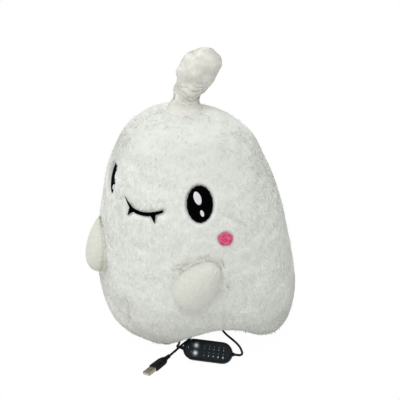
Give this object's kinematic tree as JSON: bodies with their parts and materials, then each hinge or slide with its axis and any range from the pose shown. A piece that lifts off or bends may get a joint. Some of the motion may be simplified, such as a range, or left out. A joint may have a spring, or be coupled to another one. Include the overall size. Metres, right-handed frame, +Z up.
{
  "type": "plush heating pad",
  "caption": "Stuffed white fur doll with a heater inside, a zip in its hollow base, and a USB lead with an inline push-button controller.",
  "frame": {"origin": "middle of the floor footprint of the doll's box, at the floor on which its hem stands", "axes": "+Z up, -Y the way the face looks, +X the doll's left"},
  "size_m": [0.3108, 0.344, 0.404],
  "materials": {
    "white_fur": "long pile fur",
    "cream_velboa": "short nap velboa",
    "base_cloth": "plain weave",
    "filling": "loose polyester fibre",
    "black_thread": "satin stitch",
    "white_thread": "satin stitch",
    "pink_thread": "spiral stitch",
    "heater_cloth": "non-woven cloth",
    "heater_film": "carbon-printed film",
    "carbon_wire": "silicone-sleeved carbon fibre",
    "cutout_case": "moulded",
    "zip_tape": "woven tape",
    "zip_resin": "moulded teeth",
    "zip_metal": "die cast",
    "cord_black": "satin PVC jacket",
    "case_black": "moulded, satin gloss",
    "overlay_film": "printed film",
    "button_silver": "silver plated",
    "circuit_board": "solder mask",
    "switch_body": "moulded",
    "light_guide": "translucent acrylic",
    "screw_steel": "zinc plated",
    "plug_nickel": "nickel plated",
    "plug_insulator": "moulded",
    "contact_gold": "gold plated",
    "tie_strap": "hook and loop strap"
  },
  "bodies": {
    "doll": {"front_panel": "white_fur", "back_panel": "white_fur", "topknot": "white_fur", "base_panel": "base_cloth", "filling_front": "filling", "filling_back": "filling", "left_eye": "black_thread", "right_eye": "black_thread", "mouth": "black_thread", "left_eye_large_glint": "white_thread", "left_eye_small_glint": "white_thread", "right_eye_large_glint": "white_thread", "right_eye_small_glint": "white_thread", "left_cheek": "pink_thread", "right_cheek": "pink_thread", "heater_pouch": "heater_cloth", "heating_film": "heater_film", "heating_wire": "carbon_wire", "thermal_cutout": "cutout_case", "zip_tape_front": "zip_tape", "zip_tape_rear": "zip_tape", "zip_teeth_front": "zip_resin", "zip_teeth_rear": "zip_resin", "heater_lead": "cord_black", "usb_lead_to_coil": "cord_black", "usb_lead_coil": "cord_black", "usb_lead_to_plug": "cord_black", "inner_lead": "cord_black", "cord_gland": "cord_black", "heater_lead_relief": "cord_black", "usb_lead_relief": "cord_black", "plug_boot": "cord_black", "controller_base": "case_black", "controller_cover": "case_black", "controller_overlay": "overlay_film", "circuit_board": "circuit_board", "timer_switch": "switch_body", "heat_switch": "switch_body", "upper_light_guide": "light_guide", "lower_light_guide": "light_guide", "case_screw_left": "screw_steel", "case_screw_right": "screw_steel", "plug_shell": "plug_nickel", "plug_tongue": "plug_insulator", "plug_contact_1": "contact_gold", "plug_contact_2": "contact_gold", "plug_contact_3": "contact_gold", "plug_contact_4": "contact_gold", "coil_tie": "tie_strap"},
    "timer_button": {"timer_button": "button_silver"},
    "heat_button": {"heat_button": "button_silver"},
    "zip_slider": {"zip_slider": "zip_metal"},
    "zip_pull": {"zip_pull": "zip_metal"},
    "left_arm": {"left_arm_skin": "cream_velboa", "left_arm_filling": "filling"},
    "right_arm": {"right_arm_skin": "cream_velboa", "right_arm_filling": "filling"}
  },
  "joints": [
    {"name": "timer_button_press", "type": "slide", "parent": "doll", "child": "timer_button", "axis": [-0.2561, 0.6182, -0.7431], "range_m": [0, 0.0005], "stiffness_N_per_m": 600},
    {"name": "heat_button_press", "type": "slide", "parent": "doll", "child": "heat_button", "axis": [-0.2561, 0.6182, -0.7431], "range_m": [0, 0.0005], "stiffness_N_per_m": 600},
    {"name": "zip_slide", "type": "slide", "parent": "doll", "child": "zip_slider", "axis": [1, 0, 0], "range_m": [0, 0.078], "deforming": ["zip_teeth_front", "zip_teeth_rear"]},
    {"name": "zip_pull_swing", "type": "hinge", "parent": "zip_slider", "child": "zip_pull", "pos_m": [-0.049, 0.0129, 0.0256], "axis": [0, 1, 0], "range_deg": [-75, 75]},
    {"name": "left_arm_lift", "type": "hinge", "parent": "doll", "child": "left_arm", "pos_m": [0.09688, -0.09637, 0.15601], "axis": [-0.6792, -0.3447, 0.648], "range_deg": [0, 30]},
    {"name": "right_arm_lift", "type": "hinge", "parent": "doll", "child": "right_arm", "pos_m": [-0.09688, -0.09637, 0.15601], "axis": [-0.6792, 0.3447, -0.648], "range_deg": [0, 30]}
  ]
}
